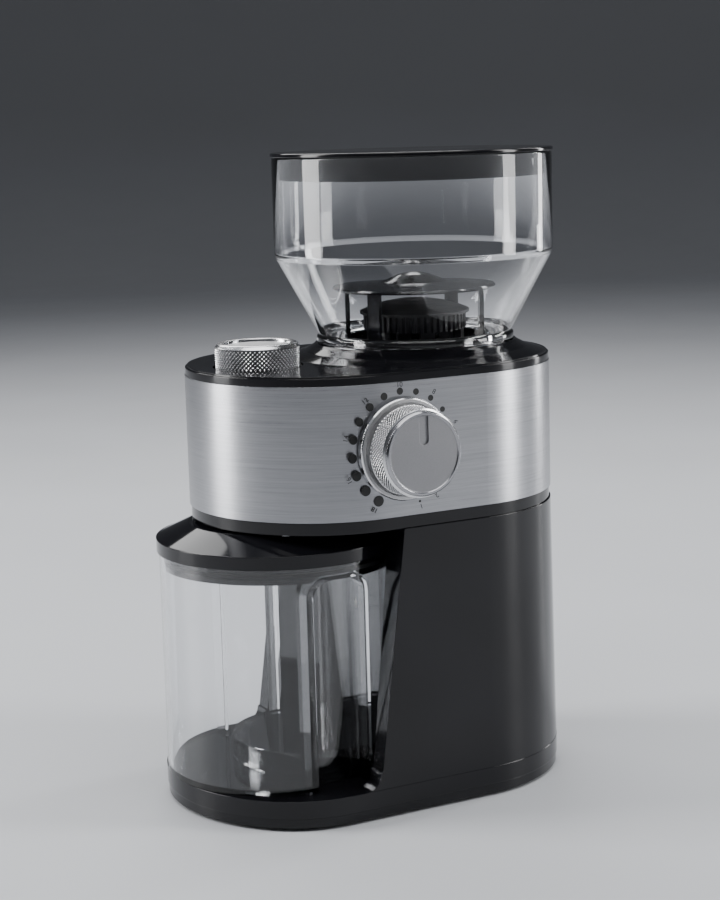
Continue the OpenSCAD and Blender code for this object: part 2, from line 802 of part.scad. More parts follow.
module control_board() {
  color("#1f5a3c") at_axis() translate([inner_x + 1, -20, 30]) {
    cube([1.6, 40, 34]);
    for (k = [0:2]) translate([1.6, 5 + 12 * k, 4]) cube([4, 6, 8]);
    translate([1.6, 8, 17]) cube([3, 18, 12]);
  }
}

pot_z = band_z1 - 0.2;

// Rotary switch body under the cup dial, hollow for the button's push rod
module timer_pot() {
  color(dark) at_axis() translate([-cup_x, 0, 0]) difference() {
    union() {
      ring(11, 4.2, pot_z - 9, pot_z);
      ring(6 - fit, 4.2, pot_z - 1, well_z + 1.4);
      ring(4.3, 2.2, spring_z0 - 1.1, spring_z0);
    }
  }
}

button_z1 = cup_z1 - 1.2;
button_z0 = button_z1 - 3;
button_travel = 2;
spring_z0 = 178.4;

module start_switch() {
  color(dark) at_axis() translate([-cup_x, 0, 0]) {
    translate([-6, -6, pot_z - 14.5]) cube([12, 12, 5.5]);
    translate([-13, -16, pot_z - 16.1]) cube([26, 32, 1.6]);
    for (s = [-1, 1]) translate([-13, s * 14.5 - 1.5, pot_z - 14.5]) cube([26, 3, 14.3]);
  }
}

module cup_dial() {
  color(steel) at_axis() translate([-cup_x, 0, 0]) difference() {
    rotate_extrude($fn = 120) polygon([
      [6, well_z + 0.3], [cup_r - 0.6, well_z + 0.3], [cup_r, well_z + 0.9], [cup_r, cup_z1 - 0.9],
      [cup_r - 0.9, cup_z1], [cup_r - 3.4, cup_z1], [cup_r - 3.9, cup_z1 - 0.6],
      [cup_r - 3.9, button_z0 - button_travel - 0.8], [6, button_z0 - button_travel - 0.8]
    ]);
  }
}

module start_button() {
  color(bright) at_axis() translate([-cup_x, 0, 0]) {
    translate([0, 0, button_z0]) cylinder(r = cup_r - 4.2, h = 2.5);
    translate([0, 0, button_z0 + 2.5]) cylinder(r1 = cup_r - 4.2, r2 = cup_r - 4.7, h = 0.5);
    translate([0, 0, pot_z - 6.6]) cylinder(r = 1.6, h = button_z0 - pot_z + 6.6);
  }
}

spring_wire = 0.45;

// Coil of separate turns around the push rod
module coil(radius, z0, z1, turns) {
  pitch = (z1 - z0 - 2 * spring_wire) / (turns - 1);
  for (i = [0:turns - 1]) translate([0, 0, z0 + spring_wire + pitch * i])
    rotate_extrude($fn = 48) translate([radius, 0]) circle(r = spring_wire, $fn = 16);
}

module button_spring() {
  color(steel) at_axis() translate([-cup_x, 0, 0])
    coil(2.9, spring_z0, button_z0, 6);
}

plunger_z = 78;
plunger_r = 2.5;
plunger_l = 9;
plunger_x = -cont_back + 0.3 + plunger_r;
wall_x = -cont_back + 1.6;

// Switch that senses the container through the back of the bay
module container_switch() {
  color(dark) at_axis() difference() {
    translate([inner_x, -8, plunger_z - 10]) cube([16, 16, 19]);
    translate([wall_x, 0, plunger_z]) rotate([0, 90, 0]) cylinder(r = plunger_r + fit, h = 16.4);
  }
}

module interlock_plunger() {
  color("#c8c8c8") at_axis() translate([plunger_x, 0, plunger_z]) rotate([0, 90, 0]) {
    sphere(r = plunger_r);
    cylinder(r = plunger_r, h = plunger_l);
  }
}

module plunger_spring() {
  color(steel) at_axis() translate([plunger_x + plunger_l, 0, plunger_z]) rotate([0, 90, 0])
    coil(1.7, 0, wall_x + 16.4 - plunger_x - plunger_l, 4);
}

module hopper_switch() {
  color(dark) at_axis() {
    translate([-26, 41.5, band_z1 - 12]) cube([14, 6, 12]);
  }
}

// ---------- hopper ----------

hlid_t = 1.8;
hop_top = total_h - hlid_t - 0.2;
lid_skirt = 10;
skirt_play = 0.35;
flange_z = neck_z + 2.6;

// Clear bowl for the beans: a cylinder on a cone
module hopper() {
  color(clear) at_axis() rotate_extrude($fn = 180) polygon([
    [neck_r - 3.3, flange_z], [neck_r, flange_z], [neck_r - 0.6, neck_z + 3.4],
    [hop_r - 0.6, cone_z - 0.5], [hop_r - 0.1, cone_z + 1.2], [hop_r, hop_top],
    [hop_r - hop_wall, hop_top], [hop_r - hop_wall - 0.1, cone_z + 1.6],
    [hop_r - hop_wall - 0.8, cone_z + 0.4], [neck_r - 2.6, neck_z + 3.6]
  ]);
}

// The bowl's flange and the tube with bayonet lugs that goes down into the seat
module hopper_neck() {
  color(clear) at_axis() {
    rotate_extrude($fn = 180) polygon([
      [tube_r, 178], [tube_r, neck_z], [neck_r, neck_z], [neck_r, flange_z],
      [neck_r - 3.3, flange_z], [neck_r - 3.6, flange_z - 0.4], [tube_r - hop_wall, flange_z - 0.4],
      [tube_r - hop_wall, 178]
    ]);
    for (a = [0, 120, 240]) rotate([0, 0, a + 62]) rotate_extrude(angle = 20)
      translate([tube_r - 0.2, 180.6]) square([2.2, 2.4]);
  }
}

guard_r = 35.8;
guard_z = 216.2;

// Finger guard: a domed disc on posts over the burrs
module bean_guard() {
  color("#3a3d44") at_axis() {
    translate([0, 0, guard_z]) rotate_extrude($fn = 120) polygon([
      [0, 0.2], [guard_r - 1, -1.2], [guard_r, -0.4], [guard_r - 0.6, 0.5], [26, 1.1], [15, 2.1],
      [11, 3.6], [7, 5.4], [3, 6.3], [0, 6.5]
    ]);
    for (a = [25, 155, 205, 335]) rotate([0, 0, a]) translate([28.5, -3, neck_z - 5])
      cube([2, 6, guard_z - 1 - neck_z + 5]);
    ring(tube_r - hop_wall - 0.05, tube_r - hop_wall - 1.8, neck_z - 6, neck_z + 1);
  }
}

module hopper_lid() {
  color(black) at_axis() {
    translate([0, 0, total_h - hlid_t]) cylinder(r = hlid_r, h = hlid_t);
    ring(hop_r - hop_wall - skirt_play, hop_r - hop_wall - 2,
      total_h - hlid_t - lid_skirt, total_h - hlid_t);
  }
}

// ---------- grind dial ----------

skirt_z = 5;
cap_h = 1.9;

module grind_dial() {
  color(steel) at_axis() translate([-dial_x, front_y, dial_z]) rotate([90, 0, 0]) difference() {
    rotate_extrude($fn = 120) polygon([
      [knob_shaft_r, 1.2], [dial_r - 2.5, 1.2], [dial_r - 2.5, skirt_z], [dial_r - 0.5, skirt_z],
      [dial_r, skirt_z + 0.6], [dial_r - 0.4, dial_out - cap_h - 0.5],
      [dial_r - 0.9, dial_out - cap_h], [knob_shaft_r, dial_out - cap_h]
    ]);
    translate([0, 0, -1]) cylinder(r = knob_shaft_r, h = stem_z + 1);
    translate([0, 0, stem_z]) cylinder(r = knob_shaft_r + eps, h = dial_out);
  }
}

pointer_w = 4.2;
pointer_l = 9.6;

// Cap with a raised rim, a pointer groove and a stem down to the shaft
module dial_cap() {
  rim_r = dial_face_r + 0.4;
  face_z = dial_out - 0.4;
  color(bright) at_axis() translate([-dial_x, front_y, dial_z]) rotate([90, 0, 0]) difference() {
    union() {
      rotate_extrude($fn = 120) polygon([
        [0, dial_out - cap_h], [rim_r - 0.3, dial_out - cap_h], [rim_r, dial_out - cap_h + 0.3],
        [rim_r, dial_out - 0.6], [rim_r - 0.6, dial_out], [rim_r - 1.4, dial_out],
        [rim_r - 1.8, face_z], [0, face_z]
      ]);
      translate([0, 0, stem_z]) cylinder(r = knob_shaft_r + eps, h = face_z - 1 - stem_z);
    }
    translate([-pointer_w / 2, dial_face_r - 1.6 - pointer_l, face_z - 0.7])
      cube([pointer_w, pointer_l, 2]);
    translate([0, dial_face_r - 1.6 - pointer_l, face_z - 0.7]) cylinder(r = pointer_w / 2 + 0.02, h = 2);
  }
}

// ---------- container ----------

recess_x0 = 80;
recess_x1 = 55;
recess_d = 7;
floor_z = deck_z + 0.3;
floor_t = 2;

// Side recess that the fingers grip, as the solid that is taken out of the container
module grip_solid(side, extra, z0, z1) {
  corner = 8;
  w = recess_x0 - recess_x1;
  translate([-recess_x0 + w / 2, side * (cont_r + 30 - recess_d - 4.2), 0]) rotate([90, 0, 0])
    translate([0, 0, -30 - extra]) linear_extrude(60 + 2 * extra) {
      translate([-w / 2 - extra, z0]) square([w + 2 * extra, z1 - z0 - corner]);
      translate([-w / 2 + corner, z0]) square([w / 2, z1 - z0 + extra]);
      translate([-w / 2 + corner, z1 - corner]) circle(r = corner + extra, $fn = 48);
      translate([w / 2 - corner, z1 - corner]) circle(r = corner + extra, $fn = 48);
      translate([0, z0]) square([w / 2 - corner, z1 - z0 + extra]);
    }
}

module container() {
  inner_r = cont_r - cont_wall;
  inner_back = cont_back + cont_wall;
  cavity_r = dock_r + 1.4;
  cavity_z = deck_z + dock_h + 0.5;
  color(clear) at_axis() difference() {
    difference() {
      translate([0, 0, floor_z]) linear_extrude(cont_top - floor_z) cont_plan(cont_r, cont_back);
      difference() {
        translate([0, 0, floor_z + floor_t]) linear_extrude(far) cont_plan(inner_r, inner_back);
        for (s = [-1, 1]) grip_solid(s, cont_wall, 0, 103);
        translate([0, 0, floor_z]) linear_extrude(cavity_z + floor_t - floor_z)
          dock_plan(cavity_r + cont_wall);
      }
    }
    for (s = [-1, 1]) grip_solid(s, 0, 0, 103);
    translate([0, 0, floor_z - 1]) linear_extrude(cavity_z - floor_z + 1) dock_plan(cavity_r);
  }
}

clid_z1 = 121;

module container_lid() {
  color(black) at_axis() difference() {
    union() {
      translate([0, 0, cont_top + 0.1]) linear_extrude(5.6) cont_plan(clid_r, cont_back - 0.4);
      intersection() {
        translate([-cont_x, 0, cont_top + 5.7])
          cylinder(r1 = clid_r - 0.4, r2 = clid_r - 14, h = clid_z1 - cont_top - 5.7);
        translate([-far, -far, 0]) cube([far - cont_back, 2 * far, far]);
      }
      difference() {
        translate([0, 0, 102.4]) linear_extrude(cont_top + 0.2 - 102.4)
          cont_plan(cont_r - cont_wall - 0.3, cont_back + cont_wall + 0.3);
        for (s = [-1, 1]) grip_solid(s, cont_wall + 0.4, 0, 103);
      }
    }
    translate([0, 0, 100]) linear_extrude(cont_top + 2.6 - 100)
      cont_plan(cont_r - cont_wall - 3.4, cont_back + cont_wall + 3.4);
    intersection() {
      translate([-cont_x, 0, cont_top + 2.5]) cylinder(r1 = clid_r - 5, r2 = clid_r - 18.5, h = 7.1);
      translate([-far, -far, 0]) cube([far - cont_back - 2.4, 2 * far, far]);
    }
    translate([-cont_x, 0, cont_top]) linear_extrude(far) square([24, 18], center = true);
    gasket_groove(0);
  }
}

module gasket_groove(inset) {
  translate([0, 0, 105 + inset]) linear_extrude(1.8 - 2 * inset) difference() {
    cont_plan(cont_r - cont_wall + 1, cont_back + cont_wall - 1);
    cont_plan(cont_r - cont_wall - 1.6 + inset, cont_back + cont_wall + 1.6 - inset);
  }
}

module lid_gasket() {
  color("#1c1c1f") at_axis() intersection() {
    gasket_groove(0.02);
    translate([0, 0, 100]) linear_extrude(10)
      cont_plan(cont_r - cont_wall - 0.15, cont_back + cont_wall + 0.15);
  }
}

base_plate();
feet();
base_screws();
housing();
cord_gland();
lower_trim();
head_frame();
steel_band();
top_cover();
cover_screws();
hopper_seat();
dial_bezel();
grind_chamber();
outlet_chute();
gearbox_base();
gearbox_cover();
gearbox_screws();
motor_can();
motor_end_cap();
shaft_bushes();
idler_pin();
transfer_bracket();
control_board();
timer_pot();
start_switch();
container_switch();
hopper_switch();
hopper();
hopper_neck();
bean_guard();
hopper_lid();
grind_dial();
dial_cap();
dial_shaft();
dial_gear();
transfer_gear();
adjust_ring();
burr_carrier();
upper_burr();
burr_shaft();
lower_burr();
impeller();
output_gear();
idler_gear();
motor_rotor();
motor_pinion();
cup_dial();
start_button();
button_spring();
container();
container_lid();
lid_gasket();
interlock_plunger();
plunger_spring();
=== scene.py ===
import json
import math

import bmesh
import bpy
from mathutils import Matrix, Vector


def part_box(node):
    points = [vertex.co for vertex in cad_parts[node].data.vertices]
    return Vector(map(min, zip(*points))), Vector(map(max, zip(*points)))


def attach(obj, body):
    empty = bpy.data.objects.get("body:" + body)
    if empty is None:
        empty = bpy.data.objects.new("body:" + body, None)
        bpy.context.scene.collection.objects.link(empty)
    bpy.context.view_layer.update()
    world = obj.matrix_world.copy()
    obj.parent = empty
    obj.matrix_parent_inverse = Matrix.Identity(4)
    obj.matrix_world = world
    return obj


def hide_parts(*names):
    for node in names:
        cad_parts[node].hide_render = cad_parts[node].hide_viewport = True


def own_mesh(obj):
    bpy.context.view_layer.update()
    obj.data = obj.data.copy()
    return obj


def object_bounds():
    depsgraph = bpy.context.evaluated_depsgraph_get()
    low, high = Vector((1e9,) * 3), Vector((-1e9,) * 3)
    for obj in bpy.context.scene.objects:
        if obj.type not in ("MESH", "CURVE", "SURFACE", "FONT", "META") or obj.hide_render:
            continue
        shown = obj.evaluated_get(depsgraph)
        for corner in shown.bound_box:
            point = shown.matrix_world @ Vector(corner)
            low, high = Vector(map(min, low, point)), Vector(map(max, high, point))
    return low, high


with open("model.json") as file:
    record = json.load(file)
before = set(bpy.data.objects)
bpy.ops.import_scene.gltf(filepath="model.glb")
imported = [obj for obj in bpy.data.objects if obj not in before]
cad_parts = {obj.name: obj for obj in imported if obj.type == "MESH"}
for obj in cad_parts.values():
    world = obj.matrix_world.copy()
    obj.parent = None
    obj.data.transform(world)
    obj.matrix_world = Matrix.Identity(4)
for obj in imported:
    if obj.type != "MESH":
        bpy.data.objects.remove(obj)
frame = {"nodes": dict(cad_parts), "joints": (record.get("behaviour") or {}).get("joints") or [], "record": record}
cad_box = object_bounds()

NODES = frame["nodes"]
RECORD = frame["record"]
JOINTS = {j["name"]: j for j in frame["joints"]}
SLOT = {s["node"]: s["material_slot"] for s in RECORD["subparts"]}
AXIS = Vector(JOINTS["burr_spin"]["pos_m"])
MM = 0.001


def at(x, y, z):
    """A point given in millimetres from the burr axis and the ground."""
    return Vector((AXIS.x + x * MM, AXIS.y + y * MM, z * MM))


# ---------- camera ----------

AZ, EL, ROLL, DISTANCE = math.radians(-28.34), math.radians(9.5), math.radians(-1.6), 0.8879
target = at(-22.95, 11.52, 143.59)
back = Vector((math.sin(AZ) * math.cos(EL), -math.cos(AZ) * math.cos(EL), math.sin(EL)))
right = Vector((math.cos(AZ), math.sin(AZ), 0))
up = back.cross(right)
right, up = (
    right * math.cos(ROLL) + up * math.sin(ROLL),
    up * math.cos(ROLL) - right * math.sin(ROLL),
)
camera = bpy.data.objects.new("camera", bpy.data.cameras.new("camera"))
bpy.context.collection.objects.link(camera)
camera.data.sensor_width = 36
camera.data.lens = 80.0
camera.data.clip_start, camera.data.clip_end = 0.01, 50
camera.matrix_world = Matrix.Translation(target + back * DISTANCE) @ Matrix(
    (right, up, back)
).transposed().to_4x4()
bpy.context.scene.camera = camera


# ---------- material building blocks ----------


class Nodes:
    """A new Principled material and the few node shorthands that the materials below share."""

    def __init__(self, name):
        self.material = bpy.data.materials.new(name)
        self.material.use_nodes = True
        self.tree = self.material.node_tree
        self.shader = self.tree.nodes["Principled BSDF"]
        self.coords = self.add("ShaderNodeTexCoord").outputs["Object"]

    def add(self, kind, **values):
        node = self.tree.nodes.new(kind)
        for key, value in values.items():
            setattr(node, key, value)
        return node

    def link(self, output, socket):
        self.tree.links.new(output, socket)

    def set(self, **values):
        for key, value in values.items():
            socket = self.shader.inputs[key.replace("_", " ")]
            if isinstance(value, bpy.types.NodeSocket):
                self.link(value, socket)
            else:
                socket.default_value = value

    def mapped(self, scale, offset=(0, 0, 0)):
        node = self.add("ShaderNodeMapping")
        node.inputs["Scale"].default_value = scale
        node.inputs["Location"].default_value = offset
        self.link(self.coords, node.inputs["Vector"])
        return node.outputs["Vector"]

    def noise(self, scale, stretch=(1, 1, 1), detail=4, offset=(0, 0, 0), roughness=0.5):
        node = self.add("ShaderNodeTexNoise")
        node.inputs["Scale"].default_value = scale
        node.inputs["Detail"].default_value = detail
        node.inputs["Roughness"].default_value = roughness
        self.link(self.mapped(stretch, offset), node.inputs["Vector"])
        return node.outputs["Fac"]

    def voronoi(self, scale, stretch=(1, 1, 1)):
        node = self.add("ShaderNodeTexVoronoi")
        node.inputs["Scale"].default_value = scale
        self.link(self.mapped(stretch), node.inputs["Vector"])
        return node.outputs["Distance"]

    def span(self, value, low, high, from_low=0.3, from_high=0.7):
        node = self.add("ShaderNodeMapRange")
        for key, number in (
            ("From Min", from_low), ("From Max", from_high), ("To Min", low), ("To Max", high)
        ):
            node.inputs[key].default_value = number
        self.link(value, node.inputs["Value"])
        return node.outputs["Result"]

    def math(self, operation, a, b=0.0):
        node = self.add("ShaderNodeMath", operation=operation)
        for socket, value in zip(node.inputs, (a, b)):
            if isinstance(value, (int, float)):
                socket.default_value = value
            else:
                self.link(value, socket)
        return node.outputs["Value"]

    def ramp(self, value, *stops):
        node = self.add("ShaderNodeValToRGB")
        elements = node.color_ramp.elements
        while len(elements) < len(stops):
            elements.new(0.5)
        for element, (place, color) in zip(elements, stops):
            element.position = place
            element.color = (*color, 1)
        self.link(value, node.inputs["Fac"])
        return node.outputs["Color"]

    def bump(self, height, strength, distance=0.0002, normal=None):
        node = self.add("ShaderNodeBump")
        node.inputs["Strength"].default_value = strength
        node.inputs["Distance"].default_value = distance
        self.link(height, node.inputs["Height"])
        if normal is not None:
            self.link(normal, node.inputs["Normal"])
        return node.outputs["Normal"]

    def edges(self, size):
        """Normals that round the shape's edges off over the given size in millimetres."""
        node = self.add("ShaderNodeBevel", samples=4)
        node.inputs["Radius"].default_value = size * MM
        return node.outputs["Normal"]

    def radius(self, centre, axes):
        """Distance from a line through centre; axes marks the two directions that count."""
        shift = self.add("ShaderNodeVectorMath", operation="SUBTRACT")
        shift.inputs[1].default_value = centre
        self.link(self.coords, shift.inputs[0])
        flat = self.add("ShaderNodeVectorMath", operation="MULTIPLY")
        flat.inputs[1].default_value = axes
        self.link(shift.outputs[0], flat.inputs[0])
        length = self.add("ShaderNodeVectorMath", operation="LENGTH")
        self.link(flat.outputs[0], length.inputs[0])
        return length.outputs["Value"]


def gloss_black():
    m = Nodes("gloss_black")
    cloud = m.noise(22)
    smear = m.noise(7, (1, 1, 0.4), detail=6, offset=(0.3, 0.1, 0))
    hair = m.noise(1, (260, 260, 1900), detail=3)
    m.set(
        Base_Color=m.ramp(cloud, (0.3, (0.003, 0.003, 0.004)), (0.7, (0.0062, 0.0062, 0.008))),
        Roughness=m.math("ADD", m.span(smear, 0.045, 0.12), m.span(hair, 0, 0.035, 0.5, 0.75)),
        IOR=1.42,
        Normal=m.bump(m.noise(46, detail=2), 0.05, 0.0006, m.edges(0.55)),
    )
    return m.material


def matte_black():
    m = Nodes("matte_black")
    grain = m.voronoi(1500)
    m.set(
        Base_Color=m.ramp(m.noise(30), (0.3, (0.012, 0.012, 0.014)), (0.7, (0.022, 0.022, 0.025))),
        Roughness=m.span(m.noise(120), 0.42, 0.6),
        Specular_IOR_Level=0.4,
        Normal=m.bump(grain, 0.25, 0.0001),
    )
    return m.material


def steel_brushed():
    """Steel brushed along the band, so its highlights stand upright."""
    m = Nodes("steel_brushed")
    fine = m.noise(1, (55, 55, 6800), detail=6, roughness=0.75)
    broad = m.noise(1, (16, 16, 1500), detail=4, offset=(0.2, 0, 0.4), roughness=0.65)
    streak = m.math("ADD", m.math("MULTIPLY", fine, 0.6), m.math("MULTIPLY", broad, 0.4))
    stain = m.noise(9, (1, 1, 1.6), detail=5)
    tangent = m.add("ShaderNodeTangent", direction_type="RADIAL", axis="Z")
    m.set(
        Base_Color=m.ramp(streak, (0.34, (0.33, 0.335, 0.355)), (0.5, (0.42, 0.425, 0.445)),
                          (0.66, (0.50, 0.505, 0.525))),
        Metallic=1.0,
        Roughness=m.math("ADD", m.span(streak, 0.25, 0.35), m.span(stain, -0.015, 0.03)),
        Anisotropic=0.6,
        Anisotropic_Rotation=0.25,
        Normal=m.bump(fine, 0.1, 0.00005, m.edges(0.3)),
        Tangent=tangent.outputs["Tangent"],
    )
    return m.material


def knurled_alloy():
    m = Nodes("knurled_alloy")
    depth = m.add("ShaderNodeAttribute", attribute_name="knurl").outputs["Fac"]
    m.set(
        # Colour runs from near black deep in the knurl's grooves, painted shade, to the metal's own tone on the
        # crests and smooth parts.
        Base_Color=m.ramp(depth, (0.05, (0.015, 0.015, 0.017)), (0.38, (0.26, 0.26, 0.27)),
                          (0.75, (0.80, 0.80, 0.81))),
        Metallic=1.0,
        Roughness=m.math("ADD", m.span(depth, 0.34, 0.2, 0, 1), m.span(m.noise(90), -0.03, 0.05)),
        Normal=m.bump(m.noise(1500, detail=3), 0.08, 0.00005),
    )
    return m.material


def turned_alloy(name, centre, axes, rim, color):
    """Satin metal with faint turning marks round an axis, polished outside the rim radius."""
    ring_share = 0.12

    def shade(factor):
        return tuple(c * factor for c in color)

    m = Nodes(name)
    radius = m.radius(centre, axes)
    rings = m.add("ShaderNodeTexNoise", noise_dimensions="1D")
    rings.inputs["Scale"].default_value = 4200
    rings.inputs["Detail"].default_value = 4
    m.link(radius, rings.inputs["W"])
    ring = rings.outputs["Fac"]
    blast = m.noise(2600, detail=3)
    grain = m.math("ADD", m.math("MULTIPLY", ring, ring_share), m.math("MULTIPLY", blast, 1 - ring_share))
    polish = m.span(radius, 0, 1, rim - 0.0002, rim + 0.0002)
    satin = m.math("ADD", m.span(grain, 0.36, 0.46), m.span(m.noise(70), -0.02, 0.03))
    rough = m.math("ADD", m.math("MULTIPLY", satin, m.math("SUBTRACT", 1.0, polish)),
                   m.math("MULTIPLY", polish, 0.13))
    m.set(
        Base_Color=m.ramp(m.math("ADD", m.math("MULTIPLY", grain, 0.5), m.math("MULTIPLY", polish, 0.5)),
                          (0.15, shade(0.72)), (0.35, shade(0.84)), (0.75, shade(1.12))),
        Metallic=1.0,
        Roughness=rough,
        Normal=m.bump(grain, 0.06, 0.00004, m.edges(0.35)),
    )
    return m.material


def clear():
    m = Nodes("clear")
    haze = m.noise(30, detail=5)
    rub = m.noise(1, (180, 180, 1500), detail=4)
    m.set(
        Base_Color=m.ramp(m.noise(12), (0.3, (0.965, 0.975, 0.99)), (0.7, (0.985, 0.99, 1.0))),
        Roughness=m.math("ADD", m.span(haze, 0.0, 0.02), m.span(rub, 0.0, 0.03, 0.6, 0.8)),
        Transmission_Weight=1.0,
        IOR=1.47,
        Normal=m.bump(m.noise(38, detail=2), 0.05, 0.0005),
    )
    return m.material


def guard_tint():
    m = Nodes("guard_tint")
    m.set(
        Base_Color=m.ramp(m.noise(60), (0.3, (0.008, 0.008, 0.011)), (0.7, (0.016, 0.017, 0.022))),
        Roughness=m.span(m.noise(40), 0.06, 0.16),
        Transmission_Weight=0.2,
        IOR=1.5,
        Normal=m.bump(m.noise(90, detail=2), 0.05, 0.0003),
    )
    return m.material


def plain(name, low, high, rough, grain=300, depth=0.1, metallic=0.0, stretch=(1, 1, 1), **more):
    """A material of two close tones with grain in its colour, roughness and surface."""
    m = Nodes(name)
    fleck = m.noise(grain, stretch, detail=5)
    m.set(
        Base_Color=m.ramp(m.noise(grain / 8, stretch), (0.3, low), (0.7, high)),
        Roughness=m.span(fleck, rough[0], rough[1]),
        Metallic=metallic,
        Normal=m.bump(fleck, depth, 0.0001),
        **more,
    )
    return m.material


dial_centre = Vector(JOINTS["grind_dial_turn"]["pos_m"])
cup_centre = Vector(JOINTS["cup_dial_turn"]["pos_m"])

# Where the polished rims begin, in metres from the knobs' axes
FACE_RIM, BEZEL_RIM, BUTTON_RIM = 0.0156, 0.0206, 0.0132

MATERIALS = {
    "gloss_black": gloss_black(),
    "matte_black": matte_black(),
    "steel_brushed": steel_brushed(),
    "knurled_alloy": knurled_alloy(),
    "bright_alloy": turned_alloy("bright_alloy", dial_centre, (1, 0, 1), FACE_RIM, (0.36, 0.36, 0.375)),
    "bezel_alloy": turned_alloy("bezel_alloy", dial_centre, (1, 0, 1), BEZEL_RIM, (0.60, 0.60, 0.61)),
    "button_alloy": turned_alloy("button_alloy", cup_centre, (1, 1, 0), BUTTON_RIM, (0.66, 0.66, 0.67)),
    "clear": clear(),
    "guard_tint": guard_tint(),
    "rubber": plain("rubber", (0.014,) * 3, (0.026,) * 3, (0.7, 0.9), 900, 0.4),
    "gasket": plain("gasket", (0.012,) * 3, (0.02,) * 3, (0.5, 0.65), 500, 0.15),
    "gear_plastic": plain("gear_plastic", (0.66, 0.63, 0.54), (0.74, 0.71, 0.62), (0.35, 0.5), 300),
    "burr_steel": plain("burr_steel", (0.38,) * 3, (0.56,) * 3, (0.22, 0.4), 700, 0.2, 1.0),
    "shaft_steel": plain("shaft_steel", (0.48,) * 3, (0.62,) * 3, (0.2, 0.34), 700, 0.15, 1.0, (1, 1, 6)),
    "screw_zinc": plain("screw_zinc", (0.55, 0.56, 0.58), (0.70, 0.71, 0.74), (0.25, 0.42), 600, 0.1, 1.0),
    "bronze": plain("bronze", (0.42, 0.27, 0.11), (0.56, 0.38, 0.18), (0.35, 0.5), 900, 0.25, 1.0),
    "board": plain("board", (0.01, 0.08, 0.035), (0.02, 0.13, 0.06), (0.3, 0.45), 400, 0.1),
    "print_black": plain("print_black", (0.006,) * 3, (0.012,) * 3, (0.35, 0.5), 1500, 0.05),
    "print_white": plain("print_white", (0.55,) * 3, (0.65,) * 3, (0.4, 0.55), 1500, 0.05),
}
for name, node in NODES.items():
    node.data.materials.clear()
    node.data.materials.append(MATERIALS[SLOT[name]])
NODES["start_button"].data.materials[0] = MATERIALS["button_alloy"]


# ---------- piece building blocks ----------

KNURL_STEPS, KNURL_RINGS = 8, 9  # mesh columns and rings for each diamond of a knurled surface
KNURL_DEPTH, KNURL_FADE = 0.6, 0.35  # how deep it is cut, and the height over which it fades out, in mm


def finish_mesh(name, mesh, material, body, sharp=38):
    """Makes the object, shades it smooth up to the sharp angle and rides it on its body."""
    mesh.name = name
    mesh.materials.clear()
    mesh.materials.append(MATERIALS[material])
    mesh.polygons.foreach_set("use_smooth", [True] * len(mesh.polygons))
    mesh.set_sharp_from_angle(angle=math.radians(sharp))
    obj = bpy.data.objects.new(name, mesh)
    bpy.context.collection.objects.link(obj)
    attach(obj, body)
    return obj


def baked(obj):
    """The object's mesh with its modifiers applied; the object itself is removed."""
    graph = bpy.context.evaluated_depsgraph_get()
    mesh = bpy.data.meshes.new_from_object(obj.evaluated_get(graph))
    bpy.data.objects.remove(obj)
    return mesh


def knurled(name, rings, matrix, count, rows, body):
    """A turned knob. rings are (radius, height, knurl amount) in mm, from the back to the front."""
    around = count * KNURL_STEPS
    bm = bmesh.new()
    layer = bm.verts.layers.float.new("knurl")
    loops = []
    for radius, height, amount in rings:
        loop = []
        for i in range(around):
            turn = i / around
            height_turn = height * rows
            a = abs(((turn * count + height_turn) % 1) * 2 - 1)
            b = abs(((turn * count - height_turn) % 1) * 2 - 1)
            peak = 1 - max(a, b) if amount else 1
            r = radius - amount * KNURL_DEPTH * (1 - peak)
            angle = math.tau * turn
            vert = bm.verts.new(matrix @ Vector((r * math.cos(angle), r * math.sin(angle), height)))
            # 1 on the crests and smooth rings, lower down in the grooves; knurled_alloy turns this into painted
            # shade in the grooves.
            vert[layer] = 1 - amount * (1 - peak)
            loop.append(vert)
        loops.append(loop)
    for low, high in zip(loops, loops[1:]):
        for i in range(around):
            j = (i + 1) % around
            bm.faces.new((low[i], low[j], high[j], high[i]))
    bm.faces.new(loops[0][::-1])
    bm.faces.new(loops[-1])
    mesh = bpy.data.meshes.new(name)
    bm.to_mesh(mesh)
    bm.free()
    return finish_mesh(name, mesh, "knurled_alloy", body, 50)


def scaled(matrix):
    return matrix @ Matrix.Scale(MM, 4)


# ---------- the two knobs ----------

front_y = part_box("steel_band")[0].y
dial_frame = Matrix.Translation((dial_centre.x, front_y, dial_centre.z)) @ Matrix.Rotation(
    math.radians(90), 4, "X"
)


def knurl_rings(radius, low, high, pitch):
    """Rings from low to high whose knurling fades out at both ends."""
    steps = round((high - low) / pitch * KNURL_RINGS)
    rings = []
    for i in range(steps + 1):
        height = low + (high - low) * i / steps
        edge = min(height - low, high - height)
        rings.append((radius, height, min(1.0, edge / KNURL_FADE)))
    return rings


DIAL_COUNT, CUP_COUNT = 72, 62
DIAL_PITCH_R, CUP_R = 18.7, 18.05
DIAL_PITCH, CUP_PITCH = math.tau * DIAL_PITCH_R / DIAL_COUNT, math.tau * CUP_R / CUP_COUNT
DIAL_R, DIAL_TAPER, KNURL_LOW, KNURL_HIGH = 18.55, 0.045, 5.5, 14.9
dial_rings = (
    [(3.0, 1.3, 0), (15.9, 1.3, 0), (15.9, 5.0, 0), (17.8, 5.0, 0), (18.2, 5.2, 0)]
    + [
        (r - DIAL_TAPER * (h - KNURL_LOW), h, k)
        for r, h, k in knurl_rings(DIAL_R, KNURL_LOW, KNURL_HIGH, DIAL_PITCH)
    ]
    + [(17.8, 15.1, 0), (17.4, 15.4, 0), (3.0, 15.4, 0)]
)
dial = knurled(
    "grind_dial_skirt", dial_rings, scaled(dial_frame), DIAL_COUNT, 1 / DIAL_PITCH, "dial_body"
)
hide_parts("grind_dial")
NODES["dial_bezel"].data.materials[0] = MATERIALS["bezel_alloy"]

